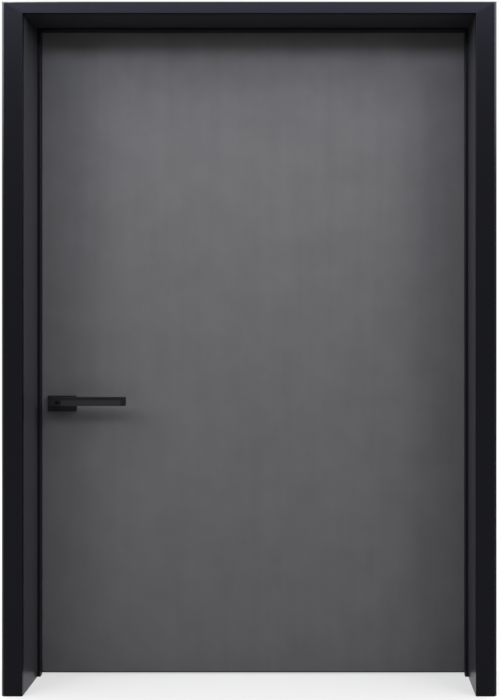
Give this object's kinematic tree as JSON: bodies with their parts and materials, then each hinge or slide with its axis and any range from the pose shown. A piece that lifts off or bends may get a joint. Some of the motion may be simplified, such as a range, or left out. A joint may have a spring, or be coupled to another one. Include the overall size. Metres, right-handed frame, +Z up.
{
  "type": "door",
  "caption": "Flush single-leaf door with lever handles and butt hinges, set deep in a lined frame with stops, seals and mitred casings.",
  "frame": {"origin": "on the wall face of the hinge jamb, at the floor, half way through the wall", "axes": "+X out of the hinge jamb's wall face, +Y towards the pull side, where the leaf opens, +Z up"},
  "size_m": [1.496, 0.253, 2.1],
  "materials": {
    "frame_black": "satin black film with a faint straight grain over board",
    "leaf_grey": "matte dark grey film with a faint cloudy tone over board",
    "core_board": "raw board, hidden",
    "edge_black": "black anodised, satin",
    "hardware_black": "matte black powder coat",
    "inlay_grey": "matte dark grey",
    "lock_steel": "satin steel",
    "box_plastic": "black, moulded",
    "seal_rubber": "soft black"
  },
  "bodies": {
    "frame": {"hinge_jamb": "frame_black", "lock_jamb": "frame_black", "head_jamb": "frame_black", "strike_plate": "hardware_black", "strike_box": "box_plastic", "front_casing_hinge_side": "frame_black", "front_casing_lock_side": "frame_black", "front_casing_head": "frame_black", "back_casing_hinge_side": "frame_black", "back_casing_lock_side": "frame_black", "back_casing_head": "frame_black", "stop_hinge_side": "frame_black", "stop_lock_side": "frame_black", "stop_head": "frame_black", "seal_hinge_side": "seal_rubber", "seal_lock_side": "seal_rubber", "seal_head": "seal_rubber", "lower_hinge_frame_plate": "hardware_black", "lower_hinge_pin": "hardware_black", "middle_hinge_frame_plate": "hardware_black", "middle_hinge_pin": "hardware_black", "upper_hinge_frame_plate": "hardware_black", "upper_hinge_pin": "hardware_black"},
    "leaf": {"leaf_core": "core_board", "front_skin": "leaf_grey", "back_skin": "leaf_grey", "edge_lock": "edge_black", "edge_hinge": "edge_black", "edge_top": "edge_black", "edge_bottom": "edge_black", "lock_forend": "hardware_black", "lock_case": "lock_steel", "latch_bolt": "lock_steel", "front_rose": "hardware_black", "back_rose": "hardware_black", "lower_hinge_leaf_plate": "hardware_black", "middle_hinge_leaf_plate": "hardware_black", "upper_hinge_leaf_plate": "hardware_black"},
    "lever": {"front_lever": "hardware_black", "back_lever": "hardware_black", "front_lever_inlay": "inlay_grey", "back_lever_inlay": "inlay_grey", "lever_spindle": "lock_steel"}
  },
  "joints": [
    {"name": "door_swing", "type": "hinge", "parent": "frame", "child": "leaf", "pos_m": [-0.028, 0.1, 1.0315], "axis": [0, 0, -1], "range_deg": [0, 170]},
    {"name": "lever_turn", "type": "hinge", "parent": "leaf", "child": "lever", "pos_m": [-1.32, 0.072, 0.879], "axis": [0, 1, 0], "range_deg": [0, 40], "stiffness_Nm_per_rad": 2, "springref_deg": -45.84}
  ]
}
